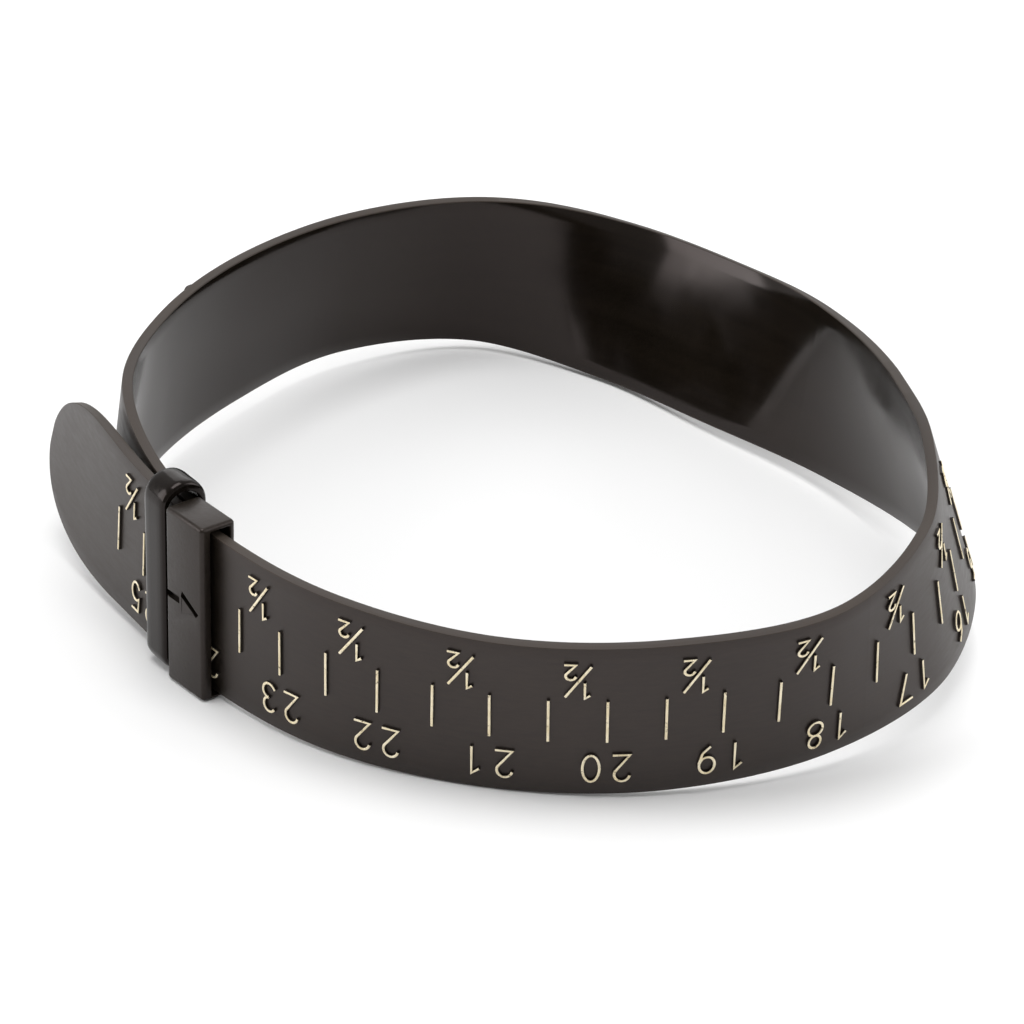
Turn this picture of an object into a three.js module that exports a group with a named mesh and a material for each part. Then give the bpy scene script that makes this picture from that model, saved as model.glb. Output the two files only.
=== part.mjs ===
// Adjustable bracelet sizer: a flat plastic strap closed into a loop. The plain end of the
// strap is fixed to a box-shaped buckle, the marked end passes through the buckle's slot and
// on under a keeper loop. Units are millimetres, +Z is up, and the loop stands on its edge.
//
// "Scale position" is the distance along the strap from the zero of its centimetre scale, so
// 235 is the 23 1/2 mark. It runs from the fixed end, round the left, back, right and front
// of the loop, to the buckle again and out to the tip of the tongue.
import * as THREE from 'three';

// ---- strap
const STRAP_WIDTH = 16;
const STRAP_THICKNESS = 1;
const SECTION_STEP = 2.5;          // length of one flat facet along the strap
const TIP_AT = 274.4;              // scale position of the tongue's tip
const TIP_ROUND = 18;              // length over which the tip rounds off
const TIP_FLAT = 0.5;              // width left at the very end of the tip

// ---- buckle housing, a box tube that stands on its flat bottom
const HOUSING_AT = 241.5;          // scale position of the marked strap in the middle of the slot
const HOUSING_CENTRE = [-29.03, -24.1];  // at half its height, as it leans
const BUCKLE_LEAN = 1.6;           // its sides lean outward at the top, degrees; its ends are level
const HOUSING_LENGTH = 5.4;
const HOUSING_DEPTH = 3.7;
const HOUSING_HEIGHT = 17.6;
const HOUSING_CORNER = 0.3;
const SLOT_DEPTH = 2.1;
const SLOT_OFFSET = 0.2;           // slot's middle, inward of the housing's: outer wall is thicker
const SLOT_LOW = 0.3;
const SLOT_HIGH = 17.1;

// ---- keeper, a thin-walled ring round both layers of the strap
const KEEPER_LENGTH = 3.4;
const KEEPER_GAP = 0.5;            // from the housing's end face
const KEEPER_WALL = 0.6;
const KEEPER_TOP_WALL = 1;
const KEEPER_LOW = 0.5;            // the ring's opening, above the table it stands on
const KEEPER_HIGH = 18;            // top of the opening, which is arched
const KEEPER_CLEARANCE = 0.2;      // beside the inner layer
const KEEPER_MARK_ROOM = 0.85;     // beside the outer layer, whose marks stand proud
const KEEPER_FOOT_CORNER = 0.5;    // of the opening's lower corners

// ---- where the two layers pass each other
const SLOT_INSET = 0.2;            // marked strap's middle, inward of the housing's middle
const LAYER_PITCH = 1.45;          // middle of one layer to middle of the other
const RUN_PITCH_DEG = 3;           // the strap climbs a little as it passes the buckle
const EDGE_AT_SLOT = 0.6;          // lower edge above the table, in the slot
const FIXED_END_OVERLAP = 9.1;     // from the slot's middle to the scale's zero
const FIXED_END_GAP = 0.6;         // from the housing's end face, as the strap's end is tilted
const ARC_TO = 250;                // past this the tongue is nearly straight
const TONGUE_RADIUS = 110;
const TONGUE_LEAN_AFTER = 1.5;     // past the arc's end, where its lean begins to change
const TONGUE_LEAN_PER_MM = 0.55;   // added to the lean at the slot
const TONGUE_PITCH_DEG = 0.7;      // the tongue climbs less than the strap in the buckle
const SLOT_LEAN = -1.6;            // lean of both layers at the slot, degrees

// ---- flexing: the strap bends evenly at these places when its size is changed
const FLEX_FIRST = 66;
const FLEX_STEP = 20;
const FLEX_COUNT = 6;
const FLEX_GAP = 0.3;

// ---- the loop at rest: a station every 15 mm of scale. Each row is the x and y of the
// strap's middle, the height of its lower edge, and its lean in degrees (lower edge outward).
const STATION_STEP = 15;
const SCALE_SHIFT = 0.25;          // the scale's zero, short of its station
const STATIONS = [
  [-38.3, -2.2, 2.7, 5],
  [-35.8, 12.5, 2.7, 4],
  [-29.2, 25.9, 2.6, 4],
  [-19.4, 37.5, 2.3, 8],
  [-6.7, 44.3, 1.1, 3],
  [7.6, 41.0, 0.2, -17],
  [19.2, 31.1, 0.7, -21],
  [28.1, 19.5, 1.5, -6],
  [34.2, 5.7, 3.6, 9],
  [37.5, -8.3, 5.3, 19],
  [35.4, -23.5, 3.8, 8],
  [26.4, -34.3, 1.8, -8],
  [12.1, -39.6, 0.6, -8],
  [-2.8, -39.7, 0.1, -8],
  [-16.9, -34.8, 0.3, -4],
];

const radians = THREE.MathUtils.degToRad;

// A smooth curve through rows of [x, y, lift, lean], with its own reading of scale position.
class Route {
  constructor(rows, firstPosition) {
    const place = rows.map((row) => new THREE.Vector3(row[0], row[1], row[2]));
    const lean = rows.map((row) => new THREE.Vector3(row[3], 0, 0));
    this.place = new THREE.CatmullRomCurve3(place, false, 'catmullrom', 0.5);
    this.place.arcLengthDivisions = 2000;
    this.lean = new THREE.CatmullRomCurve3(lean, false, 'catmullrom', 0.5);
    this.first = firstPosition;
    this.length = this.place.getLength();
  }

  // The strap's middle, its run, its outward side and its width direction at a scale position.
  frame(position) {
    const t = this.place.getUtoTmapping((position - this.first) / this.length);
    const foot = this.place.getPoint(t);
    const run = this.place.getTangent(t);
    const lean = radians(this.lean.getPoint(t).x);
    const side = new THREE.Vector3(-run.y, run.x, 0).normalize();
    const rise = new THREE.Vector3().crossVectors(run, side);
    const width = rise.clone().multiplyScalar(Math.cos(lean)).addScaledVector(side, -Math.sin(lean));
    const out = new THREE.Vector3().crossVectors(width, run);
    const middle = foot.clone();
    middle.z += (STRAP_WIDTH / 2) * width.z;
    return { middle, run, out, width };
  }
}

// The mean of the flexing places: turning about it slides the strap through the slot.
function flexCentre(route) {
  const sum = new THREE.Vector3();
  for (let i = 0; i < FLEX_COUNT; i++) {
    sum.add(route.frame(FLEX_FIRST + i * FLEX_STEP).middle);
  }
  return new THREE.Vector2(sum.x, sum.y).divideScalar(FLEX_COUNT);
}

// Stations on the two layers that pass the buckle. Both are arcs about the flex centre, which
// the marked layer leaves for a flatter arc towards its tip.
function buckleStations(centre) {
  const spoke = new THREE.Vector2(...HOUSING_CENTRE).sub(centre);
  const slotAngle = spoke.angle();
  const outerRadius = spoke.length() - SLOT_INSET;
  const innerRadius = outerRadius - LAYER_PITCH;
  const climb = (distance) => EDGE_AT_SLOT + Math.tan(radians(RUN_PITCH_DEG)) * distance;
  const row = (hub, radius, angle, lift, lean) => [
    hub.x + radius * Math.cos(angle),
    hub.y + radius * Math.sin(angle),
    lift,
    lean,
  ];

  const fixedEnd = [-STATION_STEP, 0].map((position) => {
    const distance = position + FIXED_END_OVERLAP;
    return row(centre, innerRadius, slotAngle - distance / innerRadius, climb(distance), SLOT_LEAN);
  });

  const leaveAngle = slotAngle - (ARC_TO - HOUSING_AT) / outerRadius;
  const leaveSpoke = new THREE.Vector2(Math.cos(leaveAngle), Math.sin(leaveAngle));
  const tongueHub = centre.clone().addScaledVector(leaveSpoke, outerRadius - TONGUE_RADIUS);
  const tongue = [];
  const lastListed = STATION_STEP * STATIONS.length;
  for (let i = 1; i <= 4; i++) {
    const position = lastListed + i * STATION_STEP;
    const distance = position - HOUSING_AT;
    const past = position - ARC_TO;
    tongue.push(past < 0
      ? row(centre, outerRadius, slotAngle - distance / outerRadius, climb(distance), SLOT_LEAN)
      : row(tongueHub, TONGUE_RADIUS, leaveAngle - past / TONGUE_RADIUS,
        climb(distance - past) + Math.tan(radians(TONGUE_PITCH_DEG)) * past,
        SLOT_LEAN + (past - TONGUE_LEAN_AFTER) * TONGUE_LEAN_PER_MM));
  }
  return { fixedEnd, tongue, slotAngle };
}

// The listed stations alone place the flex centre, and the centre then places the rest.
const listed = new Route(STATIONS, STATION_STEP);
const centre = flexCentre(listed);
const { fixedEnd, tongue, slotAngle } = buckleStations(centre);
const route = new Route([...fixedEnd, ...STATIONS, ...tongue], SCALE_SHIFT - STATION_STEP);

function plastic(color, roughness) {
  return new THREE.MeshStandardMaterial({ color, roughness, metalness: 0 });
}

// Share of the full width that the strap has at a scale position: it is round at its tip.
function widthShare(position) {
  const fromTip = Math.max(TIP_AT - position, 0);
  if (fromTip >= TIP_ROUND) {
    return 1;
  }
  const bow = 1 - fromTip / TIP_ROUND;
  const flat = TIP_FLAT / STRAP_WIDTH;
  return flat + (1 - flat) * Math.sqrt(1 - bow * bow);
}

// A straight strip of strap, bent and twisted onto the route.
function strapPiece(name, from, to) {
  const length = to - from;
  const steps = Math.ceil(length / SECTION_STEP);
  const geometry = new THREE.BoxGeometry(length, STRAP_THICKNESS, STRAP_WIDTH, steps, 1, 1);
  const places = geometry.getAttribute('position');
  const flat = new THREE.Vector3();
  for (let i = 0; i < places.count; i++) {
    flat.fromBufferAttribute(places, i);
    const position = from + length / 2 + flat.x;
    const { middle, out, width } = route.frame(position);
    middle.addScaledVector(out, flat.y);
    middle.addScaledVector(width, flat.z * widthShare(position));
    places.setXYZ(i, middle.x, middle.y, middle.z);
  }
  geometry.computeVertexNormals();
  const mesh = new THREE.Mesh(geometry, plastic(0x262524, 0.4));
  mesh.name = name;
  return mesh;
}

// A rectangle from its low and high corners, rounded by one radius below and another above,
// as a shape or a hole.
function roundedBox(kind, x0, y0, x1, y1, below, above) {
  const path = new kind();
  path.moveTo(x0 + below, y0);
  path.lineTo(x1 - below, y0);
  path.absarc(x1 - below, y0 + below, below, -Math.PI / 2, 0);
  path.lineTo(x1, y1 - above);
  path.absarc(x1 - above, y1 - above, above, 0, Math.PI / 2);
  path.lineTo(x0 + above, y1);
  path.absarc(x0 + above, y1 - above, above, Math.PI / 2, Math.PI);
  path.lineTo(x0, y0 + below);
  path.absarc(x0 + below, y0 + below, below, Math.PI, 1.5 * Math.PI);
  return path;
}

// A tube whose opening runs along the strap, centred a distance past the slot's middle.
function tubePiece(name, outline, hole, length, distance, material, curveSegments) {
  outline.holes.push(hole);
  const geometry = new THREE.ExtrudeGeometry(outline, {
    depth: length, bevelEnabled: false, curveSegments,
  });
  geometry.translate(0, 0, -length / 2);
  const radius = Math.hypot(HOUSING_CENTRE[0] - centre.x, HOUSING_CENTRE[1] - centre.y);
  const angle = slotAngle - distance / radius;
  const out = new THREE.Vector3(Math.cos(angle), Math.sin(angle), 0);
  const run = new THREE.Vector3(out.y, -out.x, 0);
  const up = new THREE.Vector3(0, 0, 1).addScaledVector(out, Math.tan(radians(BUCKLE_LEAN)));
  const foot = new THREE.Vector3(centre.x, centre.y, HOUSING_HEIGHT / 2)
    .addScaledVector(out, radius).addScaledVector(up, -HOUSING_HEIGHT / 2);
  geometry.applyMatrix4(new THREE.Matrix4().makeBasis(out, up, run).setPosition(foot));
  const mesh = new THREE.Mesh(geometry, material);
  mesh.name = name;
  return mesh;
}

function buckleHousing() {
  const halfDepth = HOUSING_DEPTH / 2;
  const halfSlot = SLOT_DEPTH / 2;
  const corner = HOUSING_CORNER;
  return tubePiece(
    'buckle_housing',
    roundedBox(THREE.Shape, -halfDepth, 0, halfDepth, HOUSING_HEIGHT, corner, corner),
    roundedBox(THREE.Path, -SLOT_OFFSET - halfSlot, SLOT_LOW, -SLOT_OFFSET + halfSlot, SLOT_HIGH,
      corner / 2, corner / 2),
    HOUSING_LENGTH, 0, plastic(0x2b2a29, 0.45), 3,
  );
}

function keeperLoop() {
  const halfStrap = STRAP_THICKNESS / 2;
  const outer = -SLOT_INSET + halfStrap + KEEPER_MARK_ROOM;
  const inner = -SLOT_INSET - LAYER_PITCH - halfStrap - KEEPER_CLEARANCE;
  const arch = (outer - inner) / 2 - 0.05;
  const distance = (HOUSING_LENGTH + KEEPER_LENGTH) / 2 + KEEPER_GAP;
  return tubePiece(
    'keeper_loop',
    roundedBox(THREE.Shape, inner - KEEPER_WALL, 0,
      outer + KEEPER_WALL, KEEPER_HIGH + KEEPER_TOP_WALL,
      KEEPER_FOOT_CORNER + KEEPER_WALL, arch + KEEPER_WALL),
    roundedBox(THREE.Path, inner, KEEPER_LOW, outer, KEEPER_HIGH, KEEPER_FOOT_CORNER, arch),
    KEEPER_LENGTH, distance, plastic(0x1f1e1e, 0.25), 8,
  );
}

// The strap as rigid lengths, parted at the places where it flexes.
function strapPieces() {
  const housingHalf = HOUSING_LENGTH / 2;
  const start = housingHalf + FIXED_END_GAP - FIXED_END_OVERLAP;
  const pieces = [];
  let from = start;
  for (let i = 0; i < FLEX_COUNT; i++) {
    const flexAt = FLEX_FIRST + i * FLEX_STEP;
    const name = i === 0 ? 'strap_fixed_end' : `strap_span_${i}`;
    pieces.push(strapPiece(name, from, flexAt - FLEX_GAP / 2));
    from = flexAt + FLEX_GAP / 2;
  }
  pieces.push(strapPiece('strap_tongue', from, TIP_AT));
  return pieces;
}

const model = new THREE.Group();
model.add(buckleHousing(), keeperLoop(), ...strapPieces());

// The origin is the middle of the object's footprint, on the table.
const bounds = new THREE.Box3().setFromObject(model);
const footprint = bounds.getCenter(new THREE.Vector3());
model.position.set(-footprint.x, -footprint.y, -bounds.min.z);

export default model;
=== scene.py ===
import math

import bmesh
import bpy
import numpy as np
from mathutils import Matrix, Vector


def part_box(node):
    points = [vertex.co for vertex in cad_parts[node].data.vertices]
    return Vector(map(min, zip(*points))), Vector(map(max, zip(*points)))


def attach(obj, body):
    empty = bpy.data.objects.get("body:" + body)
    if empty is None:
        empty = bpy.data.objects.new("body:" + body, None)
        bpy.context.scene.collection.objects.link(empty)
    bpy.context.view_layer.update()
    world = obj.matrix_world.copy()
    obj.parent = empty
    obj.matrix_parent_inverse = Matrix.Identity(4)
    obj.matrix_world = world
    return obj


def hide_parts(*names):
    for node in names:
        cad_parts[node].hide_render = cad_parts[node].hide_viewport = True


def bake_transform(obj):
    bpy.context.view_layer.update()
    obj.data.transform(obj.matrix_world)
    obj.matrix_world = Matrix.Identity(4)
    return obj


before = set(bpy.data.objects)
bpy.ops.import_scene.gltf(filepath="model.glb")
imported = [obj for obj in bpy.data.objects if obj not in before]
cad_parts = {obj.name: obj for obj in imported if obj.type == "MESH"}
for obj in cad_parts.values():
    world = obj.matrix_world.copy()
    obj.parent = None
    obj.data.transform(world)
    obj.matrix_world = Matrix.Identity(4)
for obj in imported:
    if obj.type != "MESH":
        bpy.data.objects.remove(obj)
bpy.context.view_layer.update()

MM = 0.001

# ---- the strap, in millimetres, as in the CAD model
WIDTH = 16.0
THICK = 1.0
EDGE_ROUND = 0.12
TIP_AT = 274.4
TIP_ROUND = 18.0
TIP_FLAT = 0.5
TIP_THINNING = 0.5  # share of its inner half that the strap loses towards the tip
FINE_TIP = 3.0  # the tip is cut in finer steps over this length
FINE_TIP_CUTS = 2.84
FLEX_STEP = 20.0
FLEX_AT = [66.0 + FLEX_STEP * i for i in range(6)]
BEND_REACH = 10.0
BEND_MARGIN = 0.09  # share of a piece across a flexing place, at each end, where hold() finds a point that it uses no further
BODIES = ["buckle_end", *(f"span_{i}" for i in range(1, 6)), "tongue"]

# ---- housing and keeper
HOUSING_AT = 241.5
HOUSING_CENTRE = (-29.03, -24.1)
BUCKLE_LEAN = math.radians(1.6)
HOUSING_LENGTH = 5.4
HOUSING_DEPTH = 3.7
HOUSING_HEIGHT = 17.6
SLOT_DEPTH = 2.1
SLOT_OFFSET = 0.2
SLOT_LOW = 0.3
SLOT_HIGH = 17.1
HOUSING_END_ROUND = 0.36
HOUSING_CORNER = 0.4
SLOT_END_ROUND = 0.1
SLOT_CORNER = 0.15
KEEPER_LENGTH = 3.4
KEEPER_GAP = 0.5
KEEPER_WALL = 0.6
KEEPER_TOP_WALL = 1.0
KEEPER_LOW = 0.5
KEEPER_HIGH = 18.0
KEEPER_CLEARANCE = 0.2
KEEPER_MARK_ROOM = 0.85
KEEPER_FOOT_CORNER = 0.5

# ---- the sunk arrow: along from the housing's end face, height, and depth where it varies
ARROW_SHAFT = [(-0.1, 9.32), (-2.0, 9.32), (-2.0, 8.62), (-0.1, 8.62)]
ARROW_HEAD = [(-2.4, 9.95, 0.05), (-4.7, 8.7, 0.05), (-2.3, 7.8, 0.01), (-2.3, 9.5, 0.04)]
ARROW_GROOVE = [(-2.4, 10.1), (-4.85, 8.75), (-4.45, 8.3), (-2.2, 9.45)]
SHAFT_DEPTH = 0.5
GROOVE_DEPTH = 0.6
CUT_PAST_FACE = 0.3

# ---- where the two layers pass each other
SLOT_INSET = 0.2
LAYER_PITCH = 1.45
RUN_PITCH = math.radians(3)
EDGE_AT_SLOT = 0.6
FIXED_END_OVERLAP = 9.1
ARC_TO = 250.0
TONGUE_RADIUS = 110.0
TONGUE_LEAN = 0.55
TONGUE_LEAN_AFTER = 1.5
TONGUE_PITCH = math.radians(0.7)
SLOT_LEAN = -1.6

# ---- the loop at rest: x, y, height of the lower edge and lean, every 15 mm of scale
STEP = 15.0
SCALE_SHIFT = 0.25
STATIONS = [
    (-38.3, -2.2, 2.7, 5),
    (-35.8, 12.5, 2.7, 4),
    (-29.2, 25.9, 2.6, 4),
    (-19.4, 37.5, 2.3, 8),
    (-6.7, 44.3, 1.1, 3),
    (7.6, 41.0, 0.2, -17),
    (19.2, 31.1, 0.7, -21),
    (28.1, 19.5, 1.5, -6),
    (34.2, 5.7, 3.6, 9),
    (37.5, -8.3, 5.3, 19),
    (35.4, -23.5, 3.8, 8),
    (26.4, -34.3, 1.8, -8),
    (12.1, -39.6, 0.6, -8),
    (-2.8, -39.7, 0.1, -8),
    (-16.9, -34.8, 0.3, -4),
]

# ---- the raised scale
SCALE_FROM = 120
SCALE_TO = 255
MARK_HEIGHT = 0.26
MARK_FOOT = 0.12
MARK_TOP = 0.17
MARK_BASE = 0.27
TICK_HIGH = 2.35
TICK_LOW = -1.94
DIGIT_HEIGHT = 2.9
DIGIT_WIDTH = 1.45
DIGIT_PITCH = 2.65
NUMBER_MIDDLE = -4.96
HALF_MIDDLE = 4.6
HALF_DIGIT_WIDTH = 0.95
HALF_DIGIT_HEIGHT = 1.6
HALF_DIGIT_ALONG = 0.66
HALF_DIGIT_ACROSS = 1.0
HALF_STROKE_ALONG = 1.05
HALF_STROKE_ACROSS = 1.6

# ---- a small moulding mark on the outer side, at the top edge
GATE_AT = 36.0
GATE_ACROSS = 7.55
GATE_HALF_LENGTH = 0.85
GATE_HALF_WIDTH = 0.38
GATE_SIDES = 14
GATE_PROFILE = [(-0.2, 1.0), (0.0, 1.0), (0.16, 0.94), (0.27, 0.75), (0.32, 0.4)]

# ---- the camera
SENSOR_WIDTH = 36.0
IMAGE_WIDTH = 1024
FOCAL_LENGTH_PX = 5000
EYE = (-2.0, -406.4, 229.3)


# ------------------------------------------------------------------ route of the strap
def spline(rows, t):
    """The curve through rows at t from 0 to 1, with end points mirrored outward."""
    rows = np.asarray(rows, float)
    padded = np.vstack([2 * rows[0] - rows[1], rows, 2 * rows[-1] - rows[-2]])
    p = np.clip(np.asarray(t, float), 0, 1) * (len(rows) - 1)
    i = np.minimum(p.astype(int), len(rows) - 2)
    w = (p - i)[:, None]
    p0, p1, p2, p3 = (padded[i + k] for k in range(4))
    a, b = 0.5 * (p2 - p0), 0.5 * (p3 - p1)
    return (
        p1
        + a * w
        + (3 * (p2 - p1) - 2 * a - b) * w**2
        + (2 * (p1 - p2) + a + b) * w**3
    )


class Route:
    def __init__(self, rows, first):
        self.rows = np.asarray(rows, float)
        self.first = first
        self.t = np.linspace(0, 1, 2001)
        points = spline(self.rows[:, :3], self.t)
        steps = np.linalg.norm(np.diff(points, axis=0), axis=1)
        self.run_length = np.concatenate([[0], np.cumsum(steps)])

    def at(self, position):
        """Middle, run, outward and widthwise directions at scale positions, in mm."""
        s = np.atleast_1d(np.asarray(position, float))
        t = np.interp(s - self.first, self.run_length, self.t)
        row = spline(self.rows, t)
        run = spline(self.rows[:, :3], t + 1e-4) - spline(self.rows[:, :3], t - 1e-4)
        run /= np.linalg.norm(run, axis=1)[:, None]
        side = np.stack([-run[:, 1], run[:, 0], np.zeros(len(s))], 1)
        side /= np.linalg.norm(side, axis=1)[:, None]
        rise = np.cross(run, side)
        lean = np.radians(row[:, 3])[:, None]
        width = rise * np.cos(lean) - side * np.sin(lean)
        out = np.cross(width, run)
        middle = row[:, :3].copy()
        middle[:, 2] += WIDTH / 2 * width[:, 2]
        return middle, run, out, width


listed = Route(STATIONS, STEP)
CENTRE = listed.at(FLEX_AT)[0][:, :2].mean(0)
spoke = np.array(HOUSING_CENTRE) - CENTRE
SLOT_ANGLE = math.atan2(spoke[1], spoke[0])
RADIUS = float(np.hypot(*spoke))
OUTER_RADIUS = RADIUS - SLOT_INSET
INNER_RADIUS = OUTER_RADIUS - LAYER_PITCH


def polar(hub, radius, angle):
    return (hub[0] + radius * math.cos(angle), hub[1] + radius * math.sin(angle))


def lift(distance):
    return EDGE_AT_SLOT + math.tan(RUN_PITCH) * distance


def buckle_stations():
    fixed, tongue = [], []
    for position in (-STEP, 0.0):
        d = position + FIXED_END_OVERLAP
        x, y = polar(CENTRE, INNER_RADIUS, SLOT_ANGLE - d / INNER_RADIUS)
        fixed.append((x, y, lift(d), SLOT_LEAN))
    leave = SLOT_ANGLE - (ARC_TO - HOUSING_AT) / OUTER_RADIUS
    hub = polar(CENTRE, OUTER_RADIUS - TONGUE_RADIUS, leave)
    for i in range(1, 5):
        position = STEP * (len(STATIONS) + i)
        d, past = position - HOUSING_AT, position - ARC_TO
        if past < 0:
            x, y = polar(CENTRE, OUTER_RADIUS, SLOT_ANGLE - d / OUTER_RADIUS)
            tongue.append((x, y, lift(d), SLOT_LEAN))
        else:
            x, y = polar(hub, TONGUE_RADIUS, leave - past / TONGUE_RADIUS)
            rise = lift(d - past) + math.tan(TONGUE_PITCH) * past
            tongue.append((x, y, rise, SLOT_LEAN + (past - TONGUE_LEAN_AFTER) * TONGUE_LEAN))
    return fixed, tongue


fixed_rows, tongue_rows = buckle_stations()
ROUTE = Route(fixed_rows + STATIONS + tongue_rows, SCALE_SHIFT - STEP)

# the CAD group is centred on its footprint, so its housing says where the route lies
low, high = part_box("buckle_housing")
SHIFT = np.array(
    [
        (low.x + high.x) / 2 / MM - HOUSING_CENTRE[0],
        (low.y + high.y) / 2 / MM - HOUSING_CENTRE[1],
        low.z / MM,
    ]
)


def on_strap(s, across, above):
    """Points at scale position s, across the width and above the middle layer, in metres."""
    middle, _, out, width = ROUTE.at(s)
    across = np.atleast_1d(across)[:, None]
    above = np.atleast_1d(above)[:, None]
    return (middle + width * across + out * above + SHIFT) * MM


def width_share(s):
    from_tip = TIP_AT - s
    if from_tip >= TIP_ROUND:
        return 1.0
    bow = 1 - max(from_tip, 0) / TIP_ROUND
    flat = TIP_FLAT / WIDTH
    return flat + (1 - flat) * math.sqrt(max(0.0, 1 - bow * bow))


# ------------------------------------------------------------------ mesh helpers
def make_object(name, points, faces, materials, face_material=None, smooth=True):
    mesh = bpy.data.meshes.new(name)
    mesh.from_pydata([tuple(p) for p in points], [], faces)
    for m in materials:
        mesh.materials.append(m)
    if face_material is not None:
        mesh.polygons.foreach_set("material_index", face_material)
    mesh.polygons.foreach_set("use_smooth", [smooth] * len(mesh.polygons))
    mesh.update()
    obj = bpy.data.objects.new(name, mesh)
    bpy.context.scene.collection.objects.link(obj)
    return obj


def face_outward(obj):
    bm = bmesh.new()
    bm.from_mesh(obj.data)
    bmesh.ops.recalc_face_normals(bm, faces=bm.faces)
    bm.to_mesh(obj.data)
    bm.free()


# ------------------------------------------------------------------ materials
def new_material(name):
    m = bpy.data.materials.new(name)
    m.use_nodes = True
    return m, m.node_tree.nodes, m.node_tree.links, m.node_tree.nodes["Principled BSDF"]


def coordinates(nodes, links, scale, attribute=None):
    """Where a point is on the object, or along and across the strap, stretched by scale."""
    if attribute:
        where = nodes.new("ShaderNodeAttribute")
        where.attribute_name = attribute
        vector = where.outputs["Vector"]
    else:
        where = nodes.new("ShaderNodeTexCoord")
        vector = where.outputs["Object"]
    fit = nodes.new("ShaderNodeMapping")
    fit.inputs["Scale"].default_value = scale
    links.new(vector, fit.inputs["Vector"])
    return fit.outputs["Vector"]


def noise(nodes, links, vector, scale, detail=3.0, roughness=0.55, distortion=0.0):
    n = nodes.new("ShaderNodeTexNoise")
    n.inputs["Scale"].default_value = scale
    n.inputs["Detail"].default_value = detail
    n.inputs["Roughness"].default_value = roughness
    n.inputs["Distortion"].default_value = distortion
    links.new(vector, n.inputs["Vector"])
    return n.outputs["Fac"]


def ramp(nodes, links, factor, stops):
    r = nodes.new("ShaderNodeValToRGB")
    r.color_ramp.elements[0].position = stops[0][0]
    r.color_ramp.elements[0].color = (*stops[0][1], 1)
    r.color_ramp.elements[1].position = stops[-1][0]
    r.color_ramp.elements[1].color = (*stops[-1][1], 1)
    for place, color in stops[1:-1]:
        e = r.color_ramp.elements.new(place)
        e.color = (*color, 1)
    links.new(factor, r.inputs["Fac"])
    return r.outputs["Color"]


def grey(value, warm=0.32):
    return (value * (1 + warm), value, value * (1 - warm))


def bump(nodes, links, height, strength, distance, bsdf, below=None):
    b = nodes.new("ShaderNodeBump")
    b.inputs["Strength"].default_value = strength
    b.inputs["Distance"].default_value = distance
    links.new(height, b.inputs["Height"])
    if below is not None:
        links.new(below, b.inputs["Normal"])
    links.new(b.outputs["Normal"], bsdf.inputs["Normal"])


def add(nodes, links, a, b, scale=0.5):
    m = nodes.new("ShaderNodeMath")
    m.operation = "MULTIPLY_ADD"
    links.new(b, m.inputs[0])
    m.inputs[1].default_value = scale
    links.new(a, m.inputs[2])
    return m.outputs["Value"]


def spread(nodes, links, value, low, high, to_low, to_high):
    r = nodes.new("ShaderNodeMapRange")
    r.inputs["From Min"].default_value = low
    r.inputs["From Max"].default_value = high
    r.inputs["To Min"].default_value = to_low
    r.inputs["To Max"].default_value = to_high
    links.new(value, r.inputs["Value"])
    return r.outputs["Result"]


def plastic(
    name, dark, light, rough, grain=(1, 1, 1), on_strap=False, streak_scale=2600,
    micro=0.3, wave=0.0, wave_scale=60, specular=0.5, smeared=False,
):
    """Moulded plastic: near black, with streaks, fine grain and slow waves in its surface."""
    m, nodes, links, bsdf = new_material(name)
    place = coordinates(nodes, links, (1, 1, 1))
    along = coordinates(nodes, links, grain, "strap_place" if on_strap else None)
    fine = noise(nodes, links, place, 3200, 3, 0.6)
    streak = noise(nodes, links, along, streak_scale, 4, 0.6)
    broad = noise(nodes, links, place, 70, 2, 0.5, 0.4)
    mixed = add(nodes, links, streak, broad, 0.6)
    color = ramp(nodes, links, mixed, [(0.6, grey(dark)), (1.0, grey(light))])
    links.new(color, bsdf.inputs["Base Color"])
    low, high = rough
    patchy = noise(nodes, links, place, 95, 2, 0.45, 1.2) if smeared else streak
    links.new(spread(nodes, links, patchy, 0.3, 0.7, low, high), bsdf.inputs["Roughness"])
    below = None
    if wave:
        slow = noise(nodes, links, place, wave_scale, 1, 0.4)
        w = nodes.new("ShaderNodeBump")
        w.inputs["Strength"].default_value = wave
        w.inputs["Distance"].default_value = 0.001
        links.new(slow, w.inputs["Height"])
        below = w.outputs["Normal"]
    height = add(nodes, links, streak, fine, 0.5)
    bump(nodes, links, height, micro, 0.00003, bsdf, below)
    bsdf.inputs["Specular IOR Level"].default_value = specular
    bsdf.inputs["Specular Tint"].default_value = (1.0, 0.86, 0.835, 1.0)
    return m


LENGTHWISE = (0.04, 1.0, 1.0)
OUTER = plastic(
    "strap_outer_satin", 0.005, 0.010, (0.37, 0.44), (0.2, 1.0, 1.0), True, 2600, 0.2
)
INNER = plastic(
    "strap_inner_gloss", 0.004, 0.007, (0.08, 0.20), LENGTHWISE, True, 1200, 0.03, 0.2,
    42, 0.36, True,
)
EDGE = plastic("strap_cut_edge", 0.012, 0.021, (0.50, 0.62), LENGTHWISE, True, 1800, 0.6)
BUCKLE = plastic("buckle_satin", 0.005, 0.009, (0.30, 0.42), micro=0.35, specular=0.36)
KEEPER = plastic("keeper_gloss", 0.002, 0.004, (0.10, 0.18), micro=0.12, specular=0.25)
MARK_SIDE = plastic("mark_side", 0.004, 0.008, (0.40, 0.55), micro=0.2)


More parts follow.
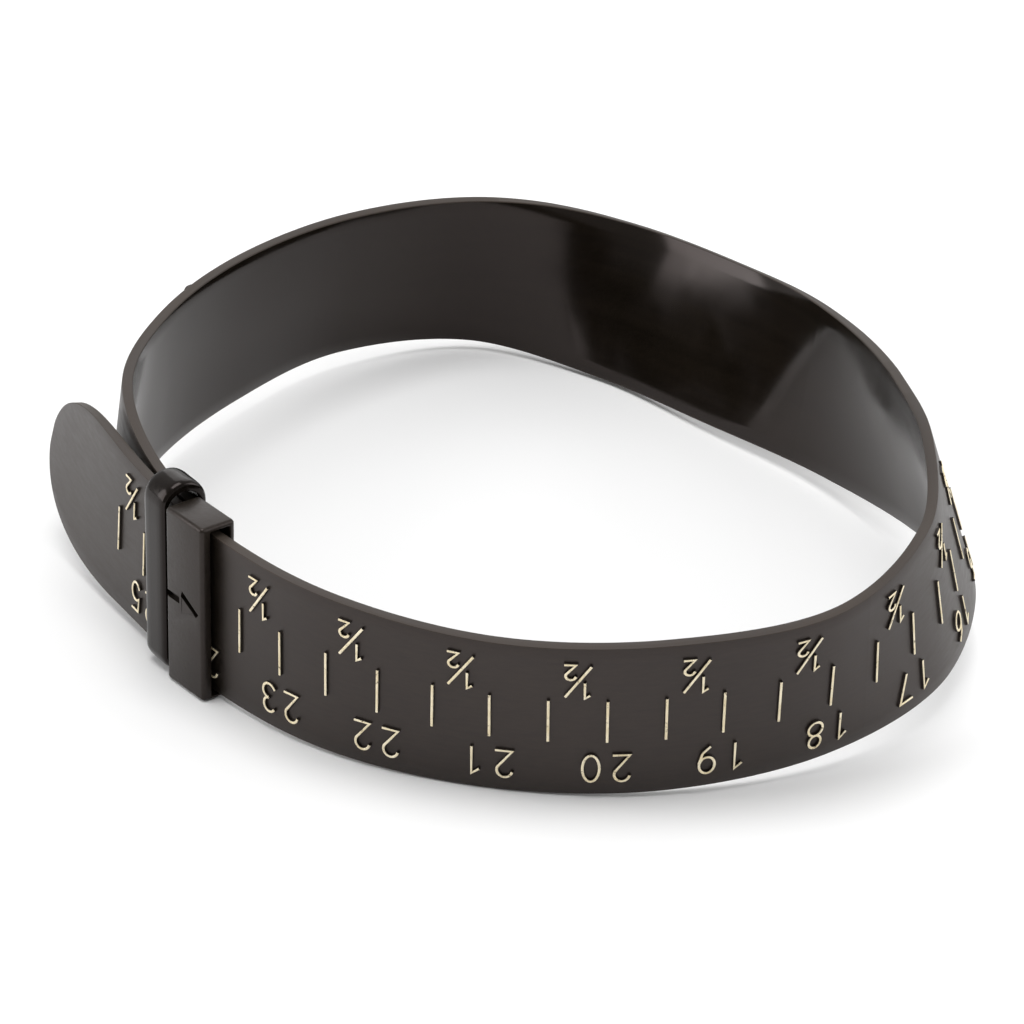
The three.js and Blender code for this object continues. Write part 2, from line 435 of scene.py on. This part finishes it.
def foil(name):
    m, nodes, links, bsdf = new_material(name)
    where = coordinates(nodes, links, (1, 1, 1))
    worn = noise(nodes, links, where, 2600, 4, 0.6)
    tone = noise(nodes, links, where, 700, 2, 0.5)
    color = ramp(
        nodes, links, tone, [(0.35, (0.80, 0.68, 0.44)), (0.65, (0.96, 0.86, 0.64))]
    )
    mix = nodes.new("ShaderNodeMix")
    mix.data_type = "RGBA"
    links.new(spread(nodes, links, worn, 0.30, 0.40, 0, 1), mix.inputs["Factor"])
    mix.inputs["A"].default_value = (0.16, 0.11, 0.06, 1)
    links.new(color, mix.inputs["B"])
    links.new(mix.outputs["Result"], bsdf.inputs["Base Color"])
    bsdf.inputs["Metallic"].default_value = 0.25
    links.new(spread(nodes, links, tone, 0, 1, 0.32, 0.55), bsdf.inputs["Roughness"])
    bump(nodes, links, worn, 0.25, 0.00003, bsdf)
    return m


GOLD = foil("scale_gold_foil")


# ------------------------------------------------------------------ strap pieces
def strap_profile(half_width, half_thick, r):
    """Corner-rounded section: (across, above, part) with part 0 outer, 1 inner, 2 edge."""
    rows = []
    flats = 12
    corner = [math.radians(a) for a in (0, 45, 90)]
    flat = half_width - r
    for k in range(flats + 1):
        rows.append((flat - 2 * flat * k / flats, half_thick, 0))
    for a in corner[1:]:
        rows.append((-flat - r * math.sin(a), half_thick - r + r * math.cos(a), 2))
    for a in reversed(corner[1:-1]):
        rows.append((-flat - r * math.sin(a), -half_thick + r - r * math.cos(a), 2))
    for k in range(flats + 1):
        rows.append((-flat + 2 * flat * k / flats, -half_thick, 1))
    for a in corner[1:]:
        rows.append((flat + r * math.sin(a), -half_thick + r - r * math.cos(a), 2))
    for a in reversed(corner[1:-1]):
        rows.append((flat + r * math.sin(a), half_thick - r + r * math.cos(a), 2))
    return rows


def strap_piece(name, start, end, tip=False, spacing=0.8):
    count = max(2, int(round((end - start) / spacing)))
    cuts = [(start + (end - start) * k / count, 0.0) for k in range(count + 1)]
    if tip:
        # the last millimetres close in fine steps, and the very end rounds off
        fine_from = TIP_AT - FINE_TIP
        cuts = [c for c in cuts if c[0] < fine_from]
        cuts += [(fine_from + FINE_TIP_CUTS * (1 - (1 - k / 14) ** 2), 0.0) for k in range(15)]
        for a in (30, 60, 90):
            rad = math.radians(a)
            cuts.append(
                (TIP_AT - EDGE_ROUND * (1 - math.sin(rad)), EDGE_ROUND * (1 - math.cos(rad)))
            )
    points, sections, place = [], [], []
    for s, inset in cuts:
        rows = strap_profile(
            WIDTH / 2 * width_share(s) - inset,
            THICK / 2 - inset,
            max(EDGE_ROUND - inset, 0.01),
        )
        thin = 1 - TIP_THINNING * min(max((s - TIP_AT + TIP_ROUND) / TIP_ROUND, 0), 1)
        above = [r[1] if r[1] > 0 else r[1] * thin for r in rows]
        p = on_strap(np.full(len(rows), s), [r[0] for r in rows], above)
        sections.append(range(len(points), len(points) + len(rows)))
        points.extend(p)
        place.extend((s * MM, r[0] * MM, r[1] * MM) for r in rows)
    n = len(rows)
    faces, kinds = [], []
    parts = [r[2] for r in rows]
    for a, b in zip(sections[:-1], sections[1:]):
        for k in range(n):
            j = (k + 1) % n
            faces.append((a[k], b[k], b[j], a[j]))
            if parts[k] == parts[j]:
                kinds.append(parts[k])
            else:
                kinds.append(2)
    faces.append(tuple(sections[0]))
    kinds.append(2)
    faces.append(tuple(reversed(sections[-1])))
    kinds.append(2)
    obj = make_object(name, points, faces, [OUTER, INNER, EDGE], kinds)
    face_outward(obj)
    obj.data.set_sharp_from_angle(angle=math.radians(25))
    attribute = obj.data.attributes.new("strap_place", "FLOAT_VECTOR", "POINT")
    attribute.data.foreach_set("vector", np.array(place, np.float32).ravel())
    return obj


def section_point(s):
    return Vector(on_strap([s], [0.0], [0.0])[0])


def hold(obj, index, start, end):
    """Strap between flexing places rides one body; a piece across a flexing place is baked where it
    lies and rides none.
    """
    if index == "bend":
        span = end - start
        section_point(start + BEND_MARGIN * span)
        section_point(end - BEND_MARGIN * span)
        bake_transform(obj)
    else:
        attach(obj, BODIES[index])


START_AT = HOUSING_LENGTH / 2 - FIXED_END_OVERLAP - 0.2
segments = [("strap_start", START_AT, FLEX_AT[0] - BEND_REACH, 0, ["strap_fixed_end"])]
for i, at in enumerate(FLEX_AT):
    nodes_for = [f"strap_span_{i + 1}"] if i < 5 else []
    segments.append((f"strap_bend_{i + 1}", at - BEND_REACH, at + BEND_REACH, "bend", nodes_for))
segments.append(("strap_end", FLEX_AT[-1] + BEND_REACH, TIP_AT, 6, ["strap_tongue"]))

for name, start, end, index, cad_nodes in segments:
    piece = strap_piece(name, start, end, tip=(end == TIP_AT))
    hold(piece, index, start, end)
    if cad_nodes:
        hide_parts(*cad_nodes)


def gate_mark():
    """A low dome of slightly uneven outline, whose foot is sunk into the strap."""
    points, faces = [], []
    n = GATE_SIDES
    turn = [2 * math.pi * k / n for k in range(n)]
    for height, share in GATE_PROFILE:
        along = [GATE_AT + GATE_HALF_LENGTH * share * math.cos(a) for a in turn]
        reach = [GATE_HALF_WIDTH * share * (1 + 0.1 * math.cos(3 * a)) for a in turn]
        across = [GATE_ACROSS + r * math.sin(a) for r, a in zip(reach, turn)]
        points.extend(on_strap(along, across, np.full(n, THICK / 2 + height)))
    for i in range(len(GATE_PROFILE) - 1):
        for k in range(n):
            j = (k + 1) % n
            a, b = i * n, (i + 1) * n
            faces.append((a + k, a + j, b + j, b + k))
    faces.append(tuple(reversed(range(n))))
    faces.append(tuple(range(len(points) - n, len(points))))
    obj = make_object("gate_mark", points, faces, [EDGE])
    face_outward(obj)
    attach(obj, "buckle_end")


gate_mark()


# ------------------------------------------------------------------ scale marks
def arc(cx, cy, rx, ry, a0, a1, steps=10):
    return [
        (
            cx + rx * math.cos(math.radians(a0 + (a1 - a0) * k / steps)),
            cy + ry * math.sin(math.radians(a0 + (a1 - a0) * k / steps)),
        )
        for k in range(steps + 1)
    ]


# single-line numerals in a box one unit wide and one unit high
GLYPHS = {
    "0": [arc(0.5, 0.5, 0.5, 0.5, 90, 450, 24)],
    "1": [[(0.2, 0.82), (0.62, 1.0), (0.62, 0.0)]],
    "2": [arc(0.5, 0.74, 0.46, 0.26, 165, -28, 12) + [(0.04, 0.0), (1.0, 0.0)]],
    "3": [
        arc(0.46, 0.75, 0.44, 0.25, 150, -80, 12),
        arc(0.46, 0.26, 0.50, 0.26, 80, -150, 14),
    ],
    "4": [[(0.72, 0.0), (0.72, 1.0), (0.0, 0.3), (1.0, 0.3)]],
    "5": [[(0.92, 1.0), (0.18, 1.0), (0.08, 0.52)] + arc(0.48, 0.32, 0.48, 0.32, 125, -150, 14)],
    "6": [arc(0.5, 0.31, 0.48, 0.31, 160, -200, 20) + [(0.02, 0.42), (0.22, 0.78), (0.66, 1.0)]],
    "7": [[(0.0, 1.0), (1.0, 1.0), (0.42, 0.0)]],
    "8": [arc(0.5, 0.76, 0.40, 0.24, -90, 270, 18), arc(0.5, 0.26, 0.48, 0.26, 90, 450, 20)],
    "9": [arc(0.5, 0.69, 0.48, 0.31, -20, -380, 20) + [(0.98, 0.58), (0.78, 0.22), (0.34, 0.0)]],
}


def ridge(lines, points, faces, kinds):
    """Raised strokes: each line is (scale position, across) in mm along the stroke."""
    for line in lines:
        line = np.asarray(line, float)
        closed = np.allclose(line[0], line[-1])
        if closed:
            line = line[:-1]
        n = len(line)
        ahead = np.roll(line, -1, 0) - line
        behind = line - np.roll(line, 1, 0)
        if not closed:
            ahead[-1], behind[0] = behind[-1], ahead[0]
        ahead /= np.linalg.norm(ahead, axis=1)[:, None]
        behind /= np.linalg.norm(behind, axis=1)[:, None]
        along = ahead + behind
        along /= np.maximum(np.linalg.norm(along, axis=1), 1e-6)[:, None]
        normal = np.stack([-along[:, 1], along[:, 0]], 1)
        stretch = 1 / np.clip((along * ahead).sum(1), 0.6, 1)
        if not closed:
            # square ends reach past the last point by half a stroke
            line[0] -= ahead[0] * MARK_TOP / 2
            line[-1] += behind[-1] * MARK_TOP / 2
        rings = []
        profile = [
            (-MARK_BASE / 2, -MARK_FOOT),
            (-MARK_BASE / 2, 0.0),
            (-MARK_TOP / 2 - 0.03, MARK_HEIGHT - 0.05),
            (-MARK_TOP / 2 + 0.02, MARK_HEIGHT),
            (MARK_TOP / 2 - 0.02, MARK_HEIGHT),
            (MARK_TOP / 2 + 0.03, MARK_HEIGHT - 0.05),
            (MARK_BASE / 2, 0.0),
            (MARK_BASE / 2, -MARK_FOOT),
        ]
        for side, height in profile:
            place = line + normal * (side * stretch)[:, None]
            rings.append(on_strap(place[:, 0], place[:, 1], np.full(n, THICK / 2 + height)))
        base = len(points)
        for k in range(n):
            points.extend(ring[k] for ring in rings)
        m = len(profile)
        for k in range(n if closed else n - 1):
            a, b = base + k * m, base + ((k + 1) % n) * m
            for j in range(m):
                q = (j + 1) % m
                faces.append((a + j, b + j, b + q, a + q))
                kinds.append(0 if j in (2, 3, 4) else 1)
        if not closed:
            faces.append(tuple(base + j for j in range(m)))
            kinds.append(1)
            faces.append(tuple(base + (n - 1) * m + j for j in reversed(range(m))))
            kinds.append(1)


def place_glyph(strokes, middle_s, middle_across, width, height):
    """Numerals stand upside down on the loop, so both directions are turned round."""
    return [
        [(middle_s + (x - 0.5) * width, middle_across - (y - 0.5) * height) for x, y in line]
        for line in strokes
    ]


def half_sign(middle_s):
    lines = []
    for digit, side in (("1", -1), ("2", 1)):
        lines += place_glyph(
            GLYPHS[digit],
            middle_s + side * HALF_DIGIT_ALONG,
            HALF_MIDDLE + side * HALF_DIGIT_ACROSS,
            HALF_DIGIT_WIDTH,
            HALF_DIGIT_HEIGHT,
        )
    start = (middle_s - HALF_STROKE_ALONG, HALF_MIDDLE + HALF_STROKE_ACROSS)
    end = (middle_s + HALF_STROKE_ALONG, HALF_MIDDLE - HALF_STROKE_ACROSS)
    lines.append([start, end])
    return lines


def marks_between(start, end):
    lines = []
    for at in range(SCALE_FROM, SCALE_TO + 1, 5):
        if start <= at < end:
            lines.append([(at, TICK_LOW), (at, (TICK_LOW + TICK_HIGH) / 2), (at, TICK_HIGH)])
            if at % 10 == 0:
                for k, digit in enumerate(f"{at // 10}"):
                    middle = at + (k - 0.5) * DIGIT_PITCH
                    lines += place_glyph(
                        GLYPHS[digit], middle, NUMBER_MIDDLE, DIGIT_WIDTH, DIGIT_HEIGHT
                    )
        if at % 10 == 0 and at < SCALE_TO and start <= at + 2.5 < end:
            lines += half_sign(at + 2.5)
    return lines


for name, start, end, index, _ in segments:
    lines = marks_between(start, end)
    if not lines:
        continue
    points, faces, kinds = [], [], []
    ridge(lines, points, faces, kinds)
    obj = make_object(name.replace("strap", "marks"), points, faces, [GOLD, MARK_SIDE], kinds, False)
    face_outward(obj)
    hold(obj, index, start, end)


# ------------------------------------------------------------------ housing and keeper
def buckle_basis(distance):
    angle = SLOT_ANGLE - distance / RADIUS
    out = Vector((math.cos(angle), math.sin(angle), 0))
    run = Vector((out.y, -out.x, 0))
    up = Vector((0, 0, 1)) + out * math.tan(BUCKLE_LEAN)
    x, y = polar(CENTRE, RADIUS, angle)
    here = Vector((x + SHIFT[0], y + SHIFT[1], SHIFT[2] + HOUSING_HEIGHT / 2)) * MM
    return out, up, run, here - up * (HOUSING_HEIGHT / 2 * MM)


def rounded_loop(x0, z0, x1, z1, below, above, corner=10, flats=(2, 6)):
    """Points round a rectangle with rounded corners, in order, the same count for any size."""
    rows = []
    widest = (x1 - x0) / 2 - 0.01
    above, below = (max(min(r, widest), 0.01) for r in (above, below))
    corners = [
        (x1 - above, z1 - above, 0, above),
        (x0 + above, z1 - above, 90, above),
        (x0 + below, z0 + below, 180, below),
        (x1 - below, z0 + below, 270, below),
    ]
    for i, (cx, cz, a0, r) in enumerate(corners):
        for k in range(corner + 1):
            a = math.radians(a0 + 90 * k / corner)
            rows.append((cx + r * math.cos(a), cz + r * math.sin(a)))
        nx, nz, na, nr = corners[(i + 1) % 4]
        a = math.radians(na)
        ex, ez = nx + nr * math.cos(a), nz + nr * math.sin(a)
        sx, sz = rows[-1]
        steps = flats[i % 2]
        for k in range(1, steps):
            rows.append((sx + (ex - sx) * k / steps, sz + (ez - sz) * k / steps))
    return rows


def tube(name, rings, distance, material):
    """A closed tube from rings of (loop points, position along the strap), joined in a circle."""
    out, up, run, here = buckle_basis(distance)
    points, faces = [], []
    n = len(rings[0][0])
    for loop, along in rings:
        for x, z in loop:
            points.append(here + (out * x + up * z + run * along) * MM)
    m = len(rings)
    for i in range(m):
        a, b = i * n, ((i + 1) % m) * n
        for k in range(n):
            j = (k + 1) % n
            faces.append((a + k, b + k, b + j, a + j))
    obj = make_object(name, points, faces, [material])
    face_outward(obj)
    obj.data.set_sharp_from_angle(angle=math.radians(35))
    return obj


def ends(half, r, steps=3):
    """Insets and places that round a tube's end: (inset, along) from the side to the face."""
    rows = []
    for k in range(steps + 1):
        a = math.radians(90 * k / steps)
        rows.append((r * (1 - math.cos(a)), half - r + r * math.sin(a)))
    return rows


def housing():
    hd, hs, half = HOUSING_DEPTH / 2, SLOT_DEPTH / 2, HOUSING_LENGTH / 2
    rings = []
    rounded = ends(half, HOUSING_END_ROUND)
    for inset, along in [(i, -a) for i, a in reversed(rounded)] + rounded:
        c = HOUSING_CORNER - inset
        loop = rounded_loop(-hd + inset, inset, hd - inset, HOUSING_HEIGHT - inset, c, c)
        rings.append((loop, along))
    rounded = ends(half, SLOT_END_ROUND)
    for inset, along in list(reversed(rounded)) + [(i, -a) for i, a in rounded]:
        c = SLOT_CORNER + inset
        loop = rounded_loop(
            -SLOT_OFFSET - hs - inset,
            SLOT_LOW - inset,
            -SLOT_OFFSET + hs + inset,
            SLOT_HIGH + inset,
            c,
            c,
        )
        rings.append((loop, along))
    return tube("buckle_box", rings, 0, BUCKLE)


def cutter(name, outline, x1):
    """A prism for cutting: rows of (along, up, depth it starts at), up to a depth x1."""
    out, up, run, here = buckle_basis(0)
    points = [here + (out * x + up * z + run * y) * MM for y, z, x in outline]
    points += [here + (out * x1 + up * z + run * y) * MM for y, z, _ in outline]
    n = len(outline)
    faces = [tuple(range(n)), tuple(reversed(range(n, 2 * n)))]
    faces += [(k, (k + 1) % n, n + (k + 1) % n, n + k) for k in range(n)]
    obj = make_object(name, points, faces, [BUCKLE], smooth=False)
    face_outward(obj)
    return obj


def cut(target, tool):
    mod = target.modifiers.new("cut", "BOOLEAN")
    mod.operation = "DIFFERENCE"
    mod.solver = "EXACT"
    mod.object = tool
    bpy.context.view_layer.update()
    done = bpy.data.meshes.new_from_object(
        target.evaluated_get(bpy.context.evaluated_depsgraph_get())
    )
    target.modifiers.clear()
    target.data = done
    bpy.data.objects.remove(tool)
    done.set_sharp_from_angle(angle=math.radians(35))


box = housing()
# the arrow is sunk into the outer wall and points at the scale: an even shaft, and a head
# that is a groove along its upper edge with a floor sloping from it to the face
wall = HOUSING_DEPTH / 2
near = HOUSING_LENGTH / 2
sunk = {
    "shaft_cut": [(y, z, SHAFT_DEPTH) for y, z in ARROW_SHAFT],
    "head_cut": ARROW_HEAD,
    "groove_cut": [(y, z, GROOVE_DEPTH) for y, z in ARROW_GROOVE],
}
for name, outline in sunk.items():
    cut(box, cutter(name, [(near + y, z, wall - d) for y, z, d in outline], wall + CUT_PAST_FACE))
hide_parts("buckle_housing")
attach(box, "buckle_end")


def keeper():
    outer = -SLOT_INSET + THICK / 2 + KEEPER_MARK_ROOM
    inner = -SLOT_INSET - LAYER_PITCH - THICK / 2 - KEEPER_CLEARANCE
    arch = (outer - inner) / 2 - 0.05
    half = KEEPER_LENGTH / 2
    rings = []
    bulge = [(-1.0, 0.34), (-0.95, 0.18), (-0.84, 0.07), (-0.62, 0.01), (-0.3, 0.0), (0.0, 0.0)]
    bulge += [(-a, b) for a, b in reversed(bulge[:-1])]
    for share, inset in bulge:
        loop = rounded_loop(
            inner - KEEPER_WALL + inset,
            inset,
            outer + KEEPER_WALL - inset,
            KEEPER_HIGH + KEEPER_TOP_WALL - inset,
            KEEPER_FOOT_CORNER + 2 * KEEPER_WALL - inset,
            arch + KEEPER_WALL - inset,
        )
        rings.append((loop, share * half))
    flare = [(1.0, 0.14), (0.95, 0.04), (0.85, 0.0)]
    flare += [(-a, b) for a, b in reversed(flare)]
    for share, grow in flare:
        loop = rounded_loop(
            inner - grow,
            KEEPER_LOW - grow,
            outer + grow,
            KEEPER_HIGH + grow,
            KEEPER_FOOT_CORNER + grow,
            arch + grow,
        )
        rings.append((loop, share * half))
    distance = (HOUSING_LENGTH + KEEPER_LENGTH) / 2 + KEEPER_GAP
    return tube("keeper_ring", rings, distance, KEEPER)


ring = keeper()
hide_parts("keeper_loop")
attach(ring, "keeper")


# ------------------------------------------------------------------ floor, light, camera
def floor():
    m, nodes, links, bsdf = new_material("pale_floor")
    tone = noise(nodes, links, coordinates(nodes, links, (1, 1, 1)), 6, 2, 0.5)
    color = ramp(nodes, links, tone, [(0.3, (0.89, 0.89, 0.89)), (0.7, (0.91, 0.91, 0.91))])
    links.new(color, bsdf.inputs["Base Color"])
    bsdf.inputs["Roughness"].default_value = 0.9
    bsdf.inputs["Specular IOR Level"].default_value = 0.1
    size, z = 3.0, -0.00005
    points = [(-size, -size, z), (size, -size, z), (size, size, z), (-size, size, z)]
    obj = make_object("pale_floor", points, [(0, 1, 2, 3)], [m], smooth=False)


floor()

world = bpy.data.worlds.new("studio") if not bpy.data.worlds else bpy.data.worlds[0]
bpy.context.scene.world = world
world.use_nodes = True
background = world.node_tree.nodes.get("Background")
background.inputs["Color"].default_value = (1, 1, 1, 1)
# the room is brighter behind the object than in front of it
world_nodes, world_links = world.node_tree.nodes, world.node_tree.links
around = world_nodes.new("ShaderNodeTexCoord")
axes = world_nodes.new("ShaderNodeSeparateXYZ")
world_links.new(around.outputs["Generated"], axes.inputs["Vector"])
glow = spread(world_nodes, world_links, axes.outputs["Y"], -0.6, 0.6, 0.28, 0.72)
world_links.new(glow, background.inputs["Strength"])


def area_light(name, place, aim, size, power):
    data = bpy.data.lights.new(name, "AREA")
    data.energy = power
    data.size = size
    obj = bpy.data.objects.new(name, data)
    bpy.context.scene.collection.objects.link(obj)
    obj.location = place
    obj.rotation_euler = (Vector(aim) - Vector(place)).to_track_quat("-Z", "Y").to_euler()


area_light("top_softbox", (-0.05, -0.05, 0.9), (0, 0, 0), 0.6, 5.4)
area_light("left_softbox", (-0.75, -0.10, 0.28), (0, 0, 0.01), 0.5, 2.6)
area_light("right_softbox", (0.75, 0.0, 0.30), (0, 0, 0.01), 0.5, 2.2)
area_light("back_softbox", (0.0, 0.8, 0.5), (0, 0, 0.01), 0.6, 1.2)

camera_data = bpy.data.cameras.new("camera")
camera = bpy.data.objects.new("camera", camera_data)
bpy.context.scene.collection.objects.link(camera)
camera_data.sensor_width = SENSOR_WIDTH
camera_data.lens = SENSOR_WIDTH * FOCAL_LENGTH_PX / IMAGE_WIDTH
camera_data.clip_start = 0.01
camera_data.clip_end = 20
eye = Vector(np.array(EYE) + SHIFT) * MM
forward = Vector((0.0, 0.8763, -0.4818)).normalized()
right = Vector((0.9988, 0.0236, 0.0429))
right = (right - forward * right.dot(forward)).normalized()
upward = right.cross(forward)
turn = Matrix((right, upward, -forward)).transposed().to_4x4()
camera.matrix_world = Matrix.Translation(eye) @ turn
bpy.context.scene.camera = camera

bpy.context.scene.view_settings.view_transform = "Standard"
